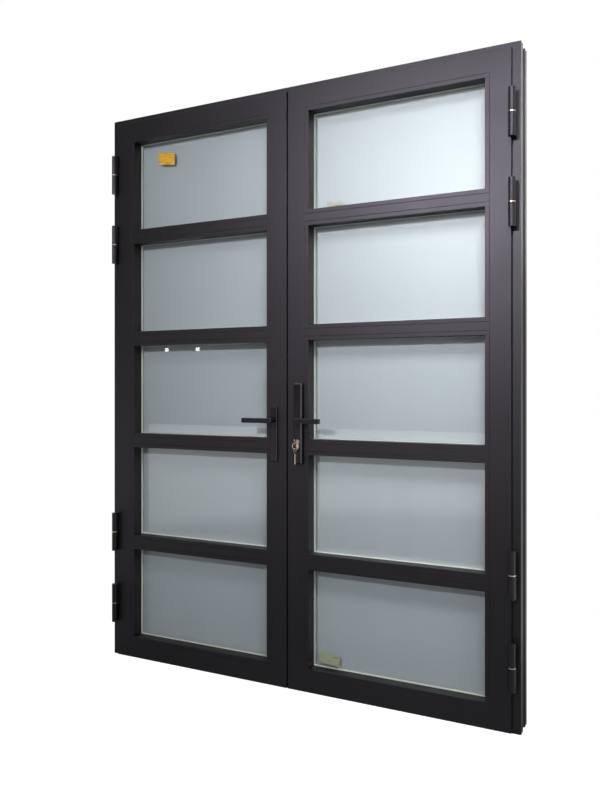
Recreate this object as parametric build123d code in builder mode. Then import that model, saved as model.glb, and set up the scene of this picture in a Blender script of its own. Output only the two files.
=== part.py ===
from build123d import *
from collections import namedtuple
import os

# French doors of thermally broken aluminium, opening into the room.
# Lengths are in millimetres. +X runs along the doors to the right as seen from the room,
# +Y points out of the room and +Z points up. The origin is on the floor, at the middle
# of the frame's width and depth.

Rect = namedtuple("Rect", "left right bottom top")

# Outer frame
frame_width = 1575
frame_height = 2100
frame_depth = 90
frame_face = 35
frame_inner_shell = 30
frame_outer_shell = 30
stop_reach = 25
stop_depth = 17
groove_width = 8
groove_depth = 4
wall = 2
corner_radius = 0.8

# Threshold
threshold_height = 18
threshold_lip = 16
threshold_fall = 6

# Leaves
jamb_reveal = 27
head_reveal = 18
floor_gap = 3
meeting_gap = 5
meeting_shift = -7
leaf_proud = 11
leaf_depth = 80
flange_width = 20
flange_thickness = 7
profile_face = 66
leaf_inner_shell = 33
leaf_outer_shell = 25

# Thermal strips
strip_thickness = 2
strip_seat = 2
strip_inset = 5
strip_clearance = 0.1

# Glazing
pane_rows = 5
bar_width = 27
bar_strip_inset = 5
bead_width = 14
bead_depth = 37
bead_foot = 7
bead_leg = 14
bead_joint = 0.2
inner_gasket_depth = 7
outer_gasket_depth = 4
gasket_width = 5.5
gasket_setback = 0.5
pane_thickness = 4
cavity = 13
glass_cover = 9
spacer_width = 6.5
spacer_show = 0.5

# Seals
seal_width = 7
seal_foot = 2
seal_clearance = 0.3
seal_inset = 6
meeting_seal_width = 5
meeting_seal_height = 1.65

# Meeting adaptors and the channel for the shoot bolts
adaptor_nose = 20
adaptor_step = 2.5
adaptor_nose_depth = 26
bolt_channel_depth = 22
bolt_diameter = 10
bolt_clearance = 0.3
bolt_sink = 1
bolt_travel = 16
lug_width = 6
lug_height = 10
lug_reach = 6
lug_clearance = 1
right_lug_inset = 24

# Keeps for the shoot bolts
keep_bore = 11
keep_shank = 15.8
keep_flange = 20
keep_flange_thickness = 1
keep_length = 9

# Hinges
hinge_heights = (208, 486, 1609, 1881)
hinge_height = 147
hinge_diameter = 21
hinge_pin_diameter = 10
hinge_pin_end = 12
hinge_washer = 3
hinge_washer_diameter = 22.5
hinge_inset = 22.5
hinge_stand_off = 25
hinge_wing = 14
hinge_leaf_wing = 9
hinge_wing_gap = 1.2
running_clearance = 0.05

# Left handle
left_handle_inset = 26.5
left_lever_height = 935
left_plate_width = 26
left_plate_bottom = 793
left_plate_top = 983
left_plate_thickness = 10
plate_corner = 2
plate_edge = 1
left_screw_heights = (816, 966)
left_lever_length = 113
left_lever_width = 17
left_cap_height = 9
left_cap_width = 13
left_cap_proud = 0.8
gearbox_height = 172
gearbox_lug_spread = 50

# Right handle
right_handle_inset = 27.3
right_lever_height = 936
right_plate_width = 31
right_plate_bottom = 788
right_plate_top = 1065
right_plate_thickness = 20
right_plate_bevel = 3.5
outer_plate_thickness = 10
right_screw_heights = (800, 1050)
right_lever_length = 92.5
right_lever_width = 17

# Levers, spindles and handle screws
lever_stand_off = 37
lever_thickness = 10
lever_corner = 3
lever_edge = 1
lever_neck_diameter = 14
neck_clearance = 1
spindle_width = 8
spindle_root = 1
spindle_engagement = 25
screw_diameter = 5
screw_head_diameter = 9
screw_head_height = 2
screw_sink = 0.2
screw_grip = 14
hidden_screw_sink = 5
long_screw_sink = 1
long_screw_grip = 14

# Lock
lock_case_clearance = 0.4
lock_case_front = 5
lock_case_back = 28
case_width = 41
hub_diameter = 22
dead_bolt_height = 900
dead_bolt_width = 26
dead_bolt_thickness = 8
dead_bolt_length = 26
dead_bolt_throw = 20
dead_bolt_sink = 0.5
dead_bolt_edge = 1
strike_thickness = 1.5
strike_height = 60
strike_width = 14
cylinder_height = 864
cylinder_diameter = 17
cylinder_fin_width = 10
cylinder_drop = 24
cylinder_proud = 1
plug_diameter = 14
plug_length = 37
plug_flush = 0.5
plug_end_clearance = 1

# Keys
key_thickness = 2.4
key_blade_width = 8
key_blade_length = 33
key_bow_diameter = 23
key_bow_hole = 8
key_neck = 1.5
key_slot_clearance = 0.15
ring_diameter = 25
ring_wire = 1.6
ring_clearance = 0.3

# Wall fixings and corner cleats
fixing_diameter = 8
fixing_depth = 15
fixing_heights = (150, 750, 1350, 1950)
cleat_length = 90
cleat_clearance = 0.3
cleat_hole = 6

# Planes and outlines that the pieces share
frame_front = -frame_depth / 2
frame_back = frame_depth / 2
leaf_front = frame_front - leaf_proud
leaf_back = leaf_front + leaf_depth
frame_outline = Rect(-frame_width / 2, frame_width / 2, 0, frame_height)
leaf_top = frame_height - head_reveal
left_leaf = Rect(
    frame_outline.left + jamb_reveal,
    meeting_shift - meeting_gap / 2,
    floor_gap,
    leaf_top,
)
right_leaf = Rect(
    meeting_shift + meeting_gap / 2,
    frame_outline.right - jamb_reveal,
    floor_gap,
    leaf_top,
)
body_bottom = floor_gap + flange_width
body_top = leaf_top - flange_width
frame_chamber_back = frame_inner_shell - wall - strip_seat
leaf_chamber_back = leaf_inner_shell - wall - strip_seat
outer_chamber_front = leaf_depth - leaf_outer_shell + wall + strip_seat
stop_front = frame_depth - stop_depth
closed_leaf_depth = leaf_depth - leaf_proud
bolt_width = bolt_diameter + 2 * bolt_clearance
hinge_y = frame_front - hinge_stand_off
knuckle_height = (hinge_height - hinge_washer) / 2
bar_sight = bar_width + 2 * bead_width

# Depths in a leaf, from its room face
clear_pane_front = bead_depth + inner_gasket_depth
cavity_front = clear_pane_front + pane_thickness
frosted_pane_front = cavity_front + cavity
outer_gasket_front = frosted_pane_front + pane_thickness
upstand_front = outer_gasket_front + outer_gasket_depth

# Each leaf, with the direction that its meeting edge faces
Leaf = namedtuple("Leaf", "name rect toward hinge_x handle_x body_edge")


def make_leaf(name, rect, toward, handle_inset):
    """Work out where a leaf's hinge axis, meeting edge and handle stand."""
    meeting_edge = rect.right if toward > 0 else rect.left
    body_edge = meeting_edge - toward * flange_width
    hinge_x = -toward * (frame_width / 2 - hinge_inset)
    return Leaf(name, rect, toward, hinge_x, body_edge - toward * handle_inset, body_edge)


left = make_leaf("left", left_leaf, 1, left_handle_inset)
right = make_leaf("right", right_leaf, -1, right_handle_inset)

# Faces of the right leaf's handle plates and lock cylinder
room_plate_face = leaf_front - right_plate_thickness
outer_plate_face = leaf_back + outer_plate_thickness
cylinder_front = room_plate_face - cylinder_proud
cylinder_back = outer_plate_face + cylinder_proud
plug_front = cylinder_front + plug_flush
key_bow_y = plug_front - key_neck - key_bow_diameter / 2


def save(piece, name):
    """Label a finished piece and write its file."""
    piece.part.label = name
    export_step(piece.part, f"parts/{name}.step")


def grow(rect, by):
    """The same outline with every side moved outwards."""
    return Rect(rect.left - by, rect.right + by, rect.bottom - by, rect.top + by)


def block(u0, v0, u1, v1, mode=Mode.ADD):
    """A rectangle of a section, between two of its corners."""
    with Locations(((u0 + u1) / 2, (v0 + v1) / 2)):
        Rectangle(abs(u1 - u0), abs(v1 - v0), mode=mode)


def round_block(u0, v0, u1, v1):
    """A rectangle of a section with the small corner radius of an extrusion."""
    with Locations(((u0 + u1) / 2, (v0 + v1) / 2)):
        RectangleRounded(abs(u1 - u0), abs(v1 - v0), corner_radius)


def solid_block(low, high, mode=Mode.ADD):
    """A rectangular solid between two of its corners."""
    centre = tuple((a + b) / 2 for a, b in zip(low, high))
    size = [abs(b - a) for a, b in zip(low, high)]
    with Locations(centre):
        Box(*size, mode=mode)


def drill(start, axis, diameter, depth):
    """A round hole from a point, against the direction of its axis."""
    with Locations(Plane(origin=start, z_dir=axis)):
        Hole(diameter / 2, depth)


def side_plane(rect, side, front):
    """Start of one side of an outline: x points inwards, y into the depth, z along."""
    starts = {
        "left": ((rect.left, front, rect.bottom), (1, 0, 0), (0, 0, 1)),
        "top": ((rect.left, front, rect.top), (0, 0, -1), (1, 0, 0)),
        "right": ((rect.right, front, rect.top), (-1, 0, 0), (0, 0, -1)),
        "bottom": ((rect.right, front, rect.bottom), (0, 0, 1), (-1, 0, 0)),
    }
    origin, inward, along = starts[side]
    return Plane(origin=origin, x_dir=inward, z_dir=along)


def side_length(rect, side):
    """Length of one side of an outline."""
    if side in ("left", "right"):
        return rect.top - rect.bottom
    return rect.right - rect.left


def mitre(plane, length, start=True, end=True):
    """Cut the ends of a bar at 45 degrees, through the outline's corners."""
    if start:
        split(bisect_by=Plane(origin=plane.origin, z_dir=plane.z_dir - plane.x_dir))
    if end:
        corner = plane.origin + plane.z_dir * length
        split(bisect_by=Plane(origin=corner, z_dir=-plane.z_dir - plane.x_dir))


def frame_mitres(side):
    """Which ends of a frame bar are mitred: the jambs stand square on the floor."""
    return {"start": side != "left", "end": side != "right"}


def strip_seats(positions, face, into):
    """Pockets in a shell's face for the edges of the thermal strips."""
    half = strip_thickness / 2 + strip_clearance
    for u in positions:
        block(u - half, face, u + half, face + into * strip_seat, mode=Mode.SUBTRACT)


def seal_groove(position, face, into):
    """Groove in a face for the foot of a seal."""
    half = seal_foot / 2 + strip_clearance
    block(position - half, face, position + half, face + into * seal_foot, mode=Mode.SUBTRACT)


# Outer frame bars

frame_strips = (strip_inset, frame_face - strip_inset)
stop_seal = frame_face + stop_reach - seal_inset - strip_clearance
lip_seal = threshold_height + threshold_lip - seal_inset


def wall_groove(front):
    """Groove along the wall side of a shell, with its own wall behind it."""
    low, high = front, front + groove_width
    block(0, low - wall, groove_depth + wall, high + wall)
    block(0, low, groove_depth, high, mode=Mode.SUBTRACT)


def frame_section():
    """Section of a head or jamb: a room shell and an outer shell with its weather stop."""
    groove_front = (frame_inner_shell - groove_width) / 2
    outer_front = frame_depth - frame_outer_shell
    round_block(0, 0, frame_face, frame_inner_shell)
    block(wall, wall, frame_face - wall, frame_chamber_back, mode=Mode.SUBTRACT)
    wall_groove(groove_front)
    strip_seats(frame_strips, frame_inner_shell, -1)
    round_block(0, outer_front, frame_face, frame_depth)
    round_block(0, stop_front, frame_face + stop_reach, frame_depth)
    block(
        wall,
        outer_front + wall + strip_seat,
        frame_face - wall,
        frame_depth - wall,
        mode=Mode.SUBTRACT,
    )
    block(
        frame_face - wall,
        stop_front + wall + seal_foot,
        frame_face + stop_reach - wall,
        frame_depth - wall,
        mode=Mode.SUBTRACT,
    )
    wall_groove(outer_front + (frame_outer_shell - groove_width) / 2)
    strip_seats(frame_strips, outer_front, 1)
    seal_groove(stop_seal, stop_front, 1)


def frame_bar(side):
    """One mitred bar of the outer frame, as two hollow shells."""
    plane = side_plane(frame_outline, side, frame_front)
    length = side_length(frame_outline, side)
    with BuildPart() as bar:
        with BuildSketch(plane):
            frame_section()
        extrude(amount=length)
        mitre(plane, length, **frame_mitres(side))
        if side == "top":
            for leaf in (left, right):
                drill((*bolt_position(leaf), frame_height - frame_face), (0, 0, -1), keep_shank, wall)
        else:
            outward = -1 if side == "left" else 1
            for height in fixing_heights:
                start = (outward * frame_width / 2, frame_front + fixing_depth, height)
                drill(start, (outward, 0, 0), fixing_diameter, frame_face)
    return bar


def bolt_position(leaf):
    """Where a leaf's shoot bolts stand, in plan."""
    x = leaf.body_edge + leaf.toward * adaptor_nose / 2
    return x, leaf_front + bolt_channel_depth


def frame_thermal_strips():
    """Pairs of polyamide strips that hold the two shells of each frame bar together."""
    with BuildPart() as strips:
        for side in ("left", "top", "right"):
            plane = side_plane(frame_outline, side, frame_front)
            length = side_length(frame_outline, side)
            with BuildPart(mode=Mode.PRIVATE) as pair:
                with BuildSketch(plane):
                    for u in frame_strips:
                        block(
                            u - strip_thickness / 2,
                            frame_inner_shell - strip_seat,
                            u + strip_thickness / 2,
                            frame_depth - frame_outer_shell + strip_seat,
                        )
                extrude(amount=length)
                mitre(plane, length, **frame_mitres(side))
            add(pair.part)
    return strips


def seal_section(position, face, into, height):
    """Foot and head of a seal that stands on a face."""
    half = seal_foot / 2
    block(position - half, face, position + half, face - into * seal_foot)
    with Locations((position, face + into * height / 2)):
        RectangleRounded(seal_width, height, corner_radius)
    block(position - half, face, position + half, face + into * height / 2)


def threshold_bar():
    """Low threshold between the jambs, with a weather lip behind the leaves."""
    inside = grow(frame_outline, -frame_face)
    plane = side_plane(Rect(inside.left, inside.right, 0, 0), "bottom", frame_front)
    lip_top = threshold_height + threshold_lip
    with BuildPart() as bar:
        with BuildSketch(plane):
            block(0, 0, threshold_height, frame_depth)
            Polygon(
                (threshold_height, stop_front),
                (lip_top, stop_front),
                (lip_top - threshold_fall, frame_depth),
                (threshold_height, frame_depth),
                align=None,
            )
            chambers = (
                (wall, frame_inner_shell - wall),
                (frame_inner_shell, frame_depth - frame_outer_shell),
                (frame_depth - frame_outer_shell + wall, frame_depth - wall),
            )
            for front, back in chambers:
                block(wall, front, threshold_height - wall, back, mode=Mode.SUBTRACT)
            block(
                threshold_height,
                stop_front + wall + seal_foot,
                lip_top - threshold_fall - wall,
                frame_depth - wall,
                mode=Mode.SUBTRACT,
            )
            seal_groove(lip_seal, stop_front, 1)
        extrude(amount=inside.right - inside.left)
        for outward in (-1, 1):
            solid_block(
                (outward * (frame_width / 2 - frame_face), frame_front + stop_front, 0),
                (outward * (frame_width / 2 - frame_face - stop_reach), frame_back, lip_top),
                mode=Mode.SUBTRACT,
            )
        for leaf in (left, right):
            drill((*bolt_position(leaf), threshold_height), (0, 0, 1), keep_shank, wall)
    return bar


def frame_seal():
    """Seal on the stop of the jambs and head and on the threshold's lip, behind the leaves."""
    height = stop_front - closed_leaf_depth - seal_clearance
    with BuildPart() as seal:
        for side in ("left", "top", "right"):
            plane = side_plane(frame_outline, side, frame_front)
            length = side_length(frame_outline, side)
            with BuildPart(mode=Mode.PRIVATE) as run:
                with BuildSketch(plane):
                    seal_section(stop_seal, stop_front, -1, height)
                extrude(amount=length)
                mitre(plane, length, **frame_mitres(side))
                solid_block(
                    (frame_outline.left, frame_front, 0),
                    (frame_outline.right, frame_back, threshold_height + threshold_lip),
                    mode=Mode.SUBTRACT,
                )
            add(run.part)
        between = grow(frame_outline, -frame_face - stop_reach)
        sill = Rect(between.left, between.right, 0, 0)
        with BuildSketch(side_plane(sill, "bottom", frame_front)):
            seal_section(lip_seal, stop_front, -1, height)
        extrude(amount=side_length(sill, "bottom"))
    return seal


def bolt_keeps():
    """Flanged bushes in the head and threshold that the shoot bolts enter."""
    with BuildPart() as keeps:
        for leaf in (left, right):
            for height, up in ((frame_height - frame_face, 1), (threshold_height, -1)):
                face = Plane(origin=(*bolt_position(leaf), height), z_dir=(0, 0, up))
                with BuildSketch(face.offset(-keep_flange_thickness)):
                    Circle(keep_flange / 2)
                    Circle(keep_bore / 2, mode=Mode.SUBTRACT)
                extrude(amount=keep_flange_thickness)
                with BuildSketch(face):
                    Circle(keep_shank / 2 - strip_clearance)
                    Circle(keep_bore / 2, mode=Mode.SUBTRACT)
                extrude(amount=keep_length)
    return keeps


def cleat(rect, corner, depth, reach, low, high):
    """A corner cleat: an L that fills the chambers of two mitred bars."""
    right_side = "right" in corner
    upper = "top" in corner
    x = rect.right - low if right_side else rect.left + low
    z = rect.top - low if upper else rect.bottom + low
    across = -1 if right_side else 1
    along = -1 if upper else 1
    front, back = depth
    arm = high - low
    solid_block((x, front, z), (x + across * arm, back, z + along * reach))
    solid_block((x, front, z), (x + across * reach, back, z + along * arm))
    middle = (arm + reach) / 2
    for dx, dz in ((arm / 2, middle), (middle, arm / 2)):
        drill((x + across * dx, front, z + along * dz), (0, -1, 0), cleat_hole, back - front)


def frame_corner_cleats():
    """Cleats in the room and outer chambers of the two head corners."""
    clear = cleat_clearance
    inner = (frame_front + wall + clear, frame_front + frame_chamber_back - clear)
    outer = (
        frame_back - frame_outer_shell + wall + strip_seat + clear,
        frame_back - wall - clear,
    )
    low = groove_depth + wall + clear
    with BuildPart() as cleats:
        for corner in ("top left", "top right"):
            for depth in (inner, outer):
                cleat(frame_outline, corner, depth, cleat_length, low, frame_face - wall - clear)
    return cleats


# Hinges

def knuckle(leaf, bottom, wing_low, wing_high, seat):
    """One half of a hinge: a barrel with a wing back to the profile that carries it."""
    centre = (leaf.hinge_x, hinge_y, bottom)
    wing_x = [leaf.hinge_x + leaf.toward * value for value in (wing_low, wing_high)]
    with Locations(centre):
        Cylinder(hinge_diameter / 2, knuckle_height, align=(Align.CENTER, Align.CENTER, Align.MIN))
    solid_block((wing_x[0], hinge_y, bottom), (wing_x[1], seat, bottom + knuckle_height))


def pin_bore(leaf, bottom):
    """The bore of one hinge for its pin, through the meeting halves of both knuckles."""
    with Locations((leaf.hinge_x, hinge_y, bottom + hinge_pin_end)):
        Cylinder(
            hinge_pin_diameter / 2 + running_clearance,
            hinge_height - 2 * hinge_pin_end,
            align=(Align.CENTER, Align.CENTER, Align.MIN),
            mode=Mode.SUBTRACT,
        )


def hinge_bottom(height):
    """Lower end of a hinge whose middle stands at a height."""
    return height - hinge_height / 2


def hinge_frame_knuckles():
    """Lower hinge halves, fixed to the faces of the jambs."""
    edge = jamb_reveal - hinge_inset - hinge_wing_gap
    with BuildPart() as knuckles:
        for leaf in (left, right):
            for height in hinge_heights:
                bottom = hinge_bottom(height)
                knuckle(leaf, bottom, edge - hinge_wing, edge, frame_front)
                pin_bore(leaf, bottom)
    return knuckles


def hinge_leaf_knuckles(leaf):
    """Upper hinge halves, fixed to the face of a leaf."""
    near = jamb_reveal - hinge_inset - hinge_wing_gap
    with BuildPart() as knuckles:
        for height in hinge_heights:
            bottom = hinge_bottom(height)
            upper = bottom + knuckle_height + hinge_washer
            knuckle(leaf, upper, near, near + hinge_leaf_wing, leaf_front)
            pin_bore(leaf, bottom)
    return knuckles


def hinge_pins():
    """Steel pins that stand in the frame knuckles and carry the leaf knuckles."""
    with BuildPart() as pins:
        for leaf in (left, right):
            for height in hinge_heights:
                with Locations((leaf.hinge_x, hinge_y, height)):
                    Cylinder(hinge_pin_diameter / 2, hinge_height - 2 * hinge_pin_end)
    return pins


def hinge_washers():
    """Brass washers between the two knuckles of each hinge."""
    with BuildPart() as washers:
        for leaf in (left, right):
            for height in hinge_heights:
                with BuildSketch(Plane((leaf.hinge_x, hinge_y, height - hinge_washer / 2))):
                    Circle(hinge_washer_diameter / 2)
                    Circle(hinge_pin_diameter / 2 + running_clearance, mode=Mode.SUBTRACT)
                extrude(amount=hinge_washer)
    return washers


# Leaf bars

leaf_strips = (flange_width + strip_inset, profile_face - strip_inset)
sight_inset = profile_face + bead_width


def leaf_section():
    """Section of a stile or rail: room shell with its flange, outer shell with its upstand."""
    outer_front = leaf_depth - leaf_outer_shell
    round_block(0, 0, profile_face, flange_thickness)
    block(flange_width, corner_radius, profile_face, leaf_inner_shell)
    block(
        flange_width + wall,
        wall,
        profile_face - wall,
        leaf_chamber_back,
        mode=Mode.SUBTRACT,
    )
    block(profile_face, bead_leg + bead_joint, profile_face + wall, bead_leg + bead_joint + wall)
    strip_seats(leaf_strips, leaf_inner_shell, -1)
    seal_groove(seal_inset, flange_thickness, -1)
    round_block(flange_width, outer_front, profile_face, leaf_depth)
    round_block(flange_width, upstand_front, sight_inset, leaf_depth)
    block(
        flange_width + wall,
        outer_chamber_front,
        profile_face - wall,
        leaf_depth - wall,
        mode=Mode.SUBTRACT,
    )
    block(
        profile_face,
        upstand_front + wall,
        sight_inset - wall,
        leaf_depth - wall,
        mode=Mode.SUBTRACT,
    )
    strip_seats(leaf_strips, outer_front, 1)


def leaf_bar(leaf, side):
    """One mitred stile or rail of a leaf, as two hollow shells."""
    plane = side_plane(leaf.rect, side, leaf_front)
    length = side_length(leaf.rect, side)
    with BuildPart() as bar:
        with BuildSketch(plane):
            leaf_section()
        extrude(amount=length)
        mitre(plane, length)
    return bar


def glazing_bar_rows(leaf):
    """Heights of the middles of the glazing bars, from the bottom."""
    step = pane_height() + bar_sight
    first = leaf.rect.bottom + sight_inset + pane_height() + bar_sight / 2
    return [first + row * step for row in range(pane_rows - 1)]


def pane_height():
    """Height of one pane between the beads."""
    opening = leaf_top - floor_gap - 2 * sight_inset
    return (opening - (pane_rows - 1) * bar_sight) / pane_rows


def pane_outlines(leaf):
    """Outlines of the panes as seen between the beads, from the bottom."""
    sight = grow(leaf.rect, -sight_inset)
    step = pane_height() + bar_sight
    bottoms = [sight.bottom + row * step for row in range(pane_rows)]
    return [Rect(sight.left, sight.right, low, low + pane_height()) for low in bottoms]


bar_strips = (bar_strip_inset - bar_width / 2, bar_width / 2 - bar_strip_inset)


def bar_plane(leaf, height, inset):
    """Start of a glazing bar: x points down from its middle, y into the depth."""
    origin = (leaf.rect.left + inset, leaf_front, height)
    return Plane(origin=origin, x_dir=(0, 0, -1), z_dir=(1, 0, 0))


def lug_notches(leaf, bottom, top):
    """Room at both ends of a level bar or bead for the lugs of the stiles."""
    rebate = grow(leaf.rect, -profile_face)
    front = leaf_front + bead_leg
    back = front + wall + 2 * bead_joint
    for edge, inward in ((rebate.left, 1), (rebate.right, -1)):
        solid_block(
            (edge, front, bottom),
            (edge + inward * (wall + bead_joint), back, top),
            mode=Mode.SUBTRACT,
        )


def bar_lug_section():
    """Lugs on both sides of a glazing bar, under the beads' legs."""
    lug_front = bead_leg + bead_joint
    for side in (-1, 1):
        block(
            side * bar_width / 2,
            lug_front,
            side * (bar_width / 2 + wall),
            lug_front + wall,
        )


def bar_inner_section():
    """Room shell of a glazing bar."""
    half = bar_width / 2
    round_block(-half, 0, half, leaf_inner_shell)
    block(wall - half, wall, half - wall, leaf_chamber_back, mode=Mode.SUBTRACT)
    strip_seats(bar_strips, leaf_inner_shell, -1)


def bar_outer_section():
    """Outer shell of a glazing bar, with an upstand over each pane."""
    half = bar_width / 2
    outer_front = leaf_depth - leaf_outer_shell
    round_block(-half, outer_front, half, leaf_depth)
    round_block(-bar_sight / 2, upstand_front, bar_sight / 2, leaf_depth)
    block(
        wall - half,
        outer_chamber_front,
        half - wall,
        leaf_depth - wall,
        mode=Mode.SUBTRACT,
    )
    for side in (-1, 1):
        block(
            side * half,
            upstand_front + wall,
            side * (bar_sight / 2 - wall),
            leaf_depth - wall,
            mode=Mode.SUBTRACT,
        )
    strip_seats(bar_strips, outer_front, 1)


def glazing_bars(leaf):
    """Bars between the panes: a room shell and an outer shell each."""
    width = leaf.rect.right - leaf.rect.left
    with BuildPart() as bars:
        for height in glazing_bar_rows(leaf):
            with BuildSketch(bar_plane(leaf, height, profile_face)):
                bar_inner_section()
            extrude(amount=width - 2 * profile_face)
            lug_notches(leaf, height - bar_width / 2, height + bar_width / 2)
            lug_start = profile_face + wall + bead_joint
            with BuildSketch(bar_plane(leaf, height, lug_start)):
                bar_lug_section()
            extrude(amount=width - 2 * lug_start)
            with BuildSketch(bar_plane(leaf, height, sight_inset)):
                bar_outer_section()
            extrude(amount=width - 2 * sight_inset)
    return bars


def strip_pair(positions):
    """Section of two thermal strips, with their edges in the seats of both shells."""
    for u in positions:
        block(
            u - strip_thickness / 2,
            leaf_inner_shell - strip_seat,
            u + strip_thickness / 2,
            leaf_depth - leaf_outer_shell + strip_seat,
        )


def leaf_thermal_strips(leaf):
    """Polyamide strips in the stiles, the rails and the glazing bars."""
    with BuildPart() as strips:
        for side in ("left", "top", "right", "bottom"):
            plane = side_plane(leaf.rect, side, leaf_front)
            length = side_length(leaf.rect, side)
            with BuildPart(mode=Mode.PRIVATE) as pair:
                with BuildSketch(plane):
                    strip_pair(leaf_strips)
                extrude(amount=length)
                mitre(plane, length)
            add(pair.part)
        for height in glazing_bar_rows(leaf):
            with BuildSketch(bar_plane(leaf, height, sight_inset)):
                strip_pair(bar_strips)
            extrude(amount=leaf.rect.right - leaf.rect.left - 2 * sight_inset)
    return strips


def leaf_corner_cleats(leaf):
    """Cleats in the room and outer chambers of a leaf's four corners."""
    clear = cleat_clearance
    inner = (leaf_front + wall + clear, leaf_front + leaf_chamber_back - clear)
    outer = (leaf_front + outer_chamber_front + clear, leaf_back - wall - clear)
    low = flange_width + wall + clear
    high = profile_face - wall - clear
    with BuildPart() as cleats:
        for corner in ("top left", "top right", "bottom left", "bottom right"):
            for depth in (inner, outer):
                cleat(leaf.rect, corner, depth, cleat_length, low, high)
    return cleats


# Glazing

def bead_section():
    """Clip-in glazing bead: front, visible side, foot on the gasket and clip leg."""
    round_block(bead_joint, 0, bead_width, wall)
    block(bead_width - wall, corner_radius, bead_width, bead_depth)
    block(bead_width - bead_foot, bead_depth - wall, bead_width, bead_depth)
    block(bead_joint, corner_radius, bead_joint + wall, bead_leg)


def glazing_beads(leaf):
    """Four beads round each pane: the level ones run through, the upright ones fit between."""
    with BuildPart() as beads:
        for pane in pane_outlines(leaf):
            seat = grow(pane, bead_width)
            between = Rect(seat.left, seat.right, pane.bottom - bead_joint, pane.top + bead_joint)
            for side in ("left", "top", "right", "bottom"):
                if side in ("left", "right"):
                    outline = Rect(
                        between.left,
                        between.right,
                        between.bottom + 2 * bead_joint,
                        between.top - 2 * bead_joint,
                    )
                else:
                    outline = seat
                with BuildSketch(side_plane(outline, side, leaf_front)):
                    bead_section()
                extrude(amount=side_length(outline, side))
            lug_notches(leaf, seat.bottom, seat.top)
    return beads


def ring(outer, inner, front, depth):
    """A flat frame between two outlines."""
    with BuildSketch(Plane(origin=(0, front + depth, 0), x_dir=(1, 0, 0), z_dir=(0, -1, 0))) as face:
        block(outer.left, outer.bottom, outer.right, outer.top)
        block(inner.left, inner.bottom, inner.right, inner.top, mode=Mode.SUBTRACT)
    extrude(to_extrude=face.sketch, amount=depth)


def gaskets(leaf):
    """Glazing gaskets: one under the beads and one on the outer upstand, for each pane."""
    with BuildPart() as rubber:
        for pane in pane_outlines(leaf):
            outer = grow(pane, gasket_width + gasket_setback)
            inner = grow(pane, gasket_setback)
            ring(outer, inner, leaf_front + bead_depth, inner_gasket_depth)
            ring(outer, inner, leaf_front + outer_gasket_front, outer_gasket_depth)
    return rubber


def panes(leaf, depth):
    """One sheet of glass in each row, at a depth in the leaf."""
    front = leaf_front + depth
    with BuildPart() as glass:
        for pane in pane_outlines(leaf):
            sheet = grow(pane, glass_cover)
            solid_block(
                (sheet.left, front, sheet.bottom),
                (sheet.right, front + pane_thickness, sheet.top),
            )
    return glass


def spacers(leaf):
    """Spacer frames that hold the two sheets of each unit apart."""
    with BuildPart() as frames:
        for pane in pane_outlines(leaf):
            outer = grow(pane, spacer_width - spacer_show)
            ring(outer, grow(pane, -spacer_show), leaf_front + cavity_front, cavity)
    return frames


# Seals and meeting adaptors

def leaf_seals(leaf):
    """Seal on the back of a leaf's flange, and the bubble seal on its meeting nose."""
    away = "left" if leaf.toward > 0 else "right"
    height = leaf_proud - flange_thickness - seal_clearance
    nose = leaf.body_edge + leaf.toward * adaptor_nose
    depth = leaf_front + flange_thickness + adaptor_nose_depth - meeting_seal_width / 2 - seal_clearance
    with BuildPart() as seals:
        for side in (away, "top", "bottom"):
            plane = side_plane(leaf.rect, side, leaf_front)
            length = side_length(leaf.rect, side)
            with BuildPart(mode=Mode.PRIVATE) as run:
                with BuildSketch(plane):
                    seal_section(seal_inset, flange_thickness, 1, height)
                extrude(amount=length)
                mitre(plane, length)
                meeting = leaf.body_edge - leaf.toward * seal_clearance
                solid_block(
                    (meeting, leaf_front, 0),
                    (meeting + leaf.toward * frame_width, leaf_back, frame_height),
                    mode=Mode.SUBTRACT,
                )
            add(run.part)
        solid_block(
            (nose - leaf.toward * seal_foot, depth - seal_foot / 2, body_bottom),
            (nose, depth + seal_foot / 2, body_top),
        )
        solid_block(
            (nose, depth - meeting_seal_width / 2, body_bottom),
            (nose + leaf.toward * meeting_seal_height, depth + meeting_seal_width / 2, body_top),
        )
    return seals


def adaptor_section():
    """Section of a meeting adaptor: x runs from the leaf's body edge towards the gap."""
    step = flange_thickness + adaptor_nose_depth
    channel = bolt_width / 2
    round_block(0, flange_thickness, adaptor_nose, step)
    block(0, step - wall, adaptor_nose - adaptor_step, leaf_depth)
    block(
        adaptor_nose / 2 - channel,
        bolt_channel_depth - channel,
        adaptor_nose / 2 + channel,
        bolt_channel_depth + channel,
        mode=Mode.SUBTRACT,
    )
    block(
        wall,
        flange_thickness + wall,
        adaptor_nose - wall,
        bolt_channel_depth - channel - wall,
        mode=Mode.SUBTRACT,
    )
    block(wall, step, adaptor_nose - adaptor_step - wall, leaf_depth - wall, mode=Mode.SUBTRACT)
    groove = step - meeting_seal_width / 2 - seal_clearance
    half = seal_foot / 2 + strip_clearance
    block(adaptor_nose - seal_foot, groove - half, adaptor_nose, groove + half, mode=Mode.SUBTRACT)


def meeting_adaptor(leaf):
    """Hollow profile behind the flange of a meeting stile, with the channel for its bolts."""
    start = body_bottom if leaf.toward > 0 else body_top
    plane = Plane(
        origin=(leaf.body_edge, leaf_front, start),
        x_dir=(leaf.toward, 0, 0),
        z_dir=(0, 0, leaf.toward),
    )
    with BuildPart() as adaptor:
        with BuildSketch(plane):
            adaptor_section()
        extrude(amount=body_top - body_bottom)
        lug_slots(leaf)
        dead_bolt_window(leaf)
    return adaptor


# Shoot bolts and their lugs

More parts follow.
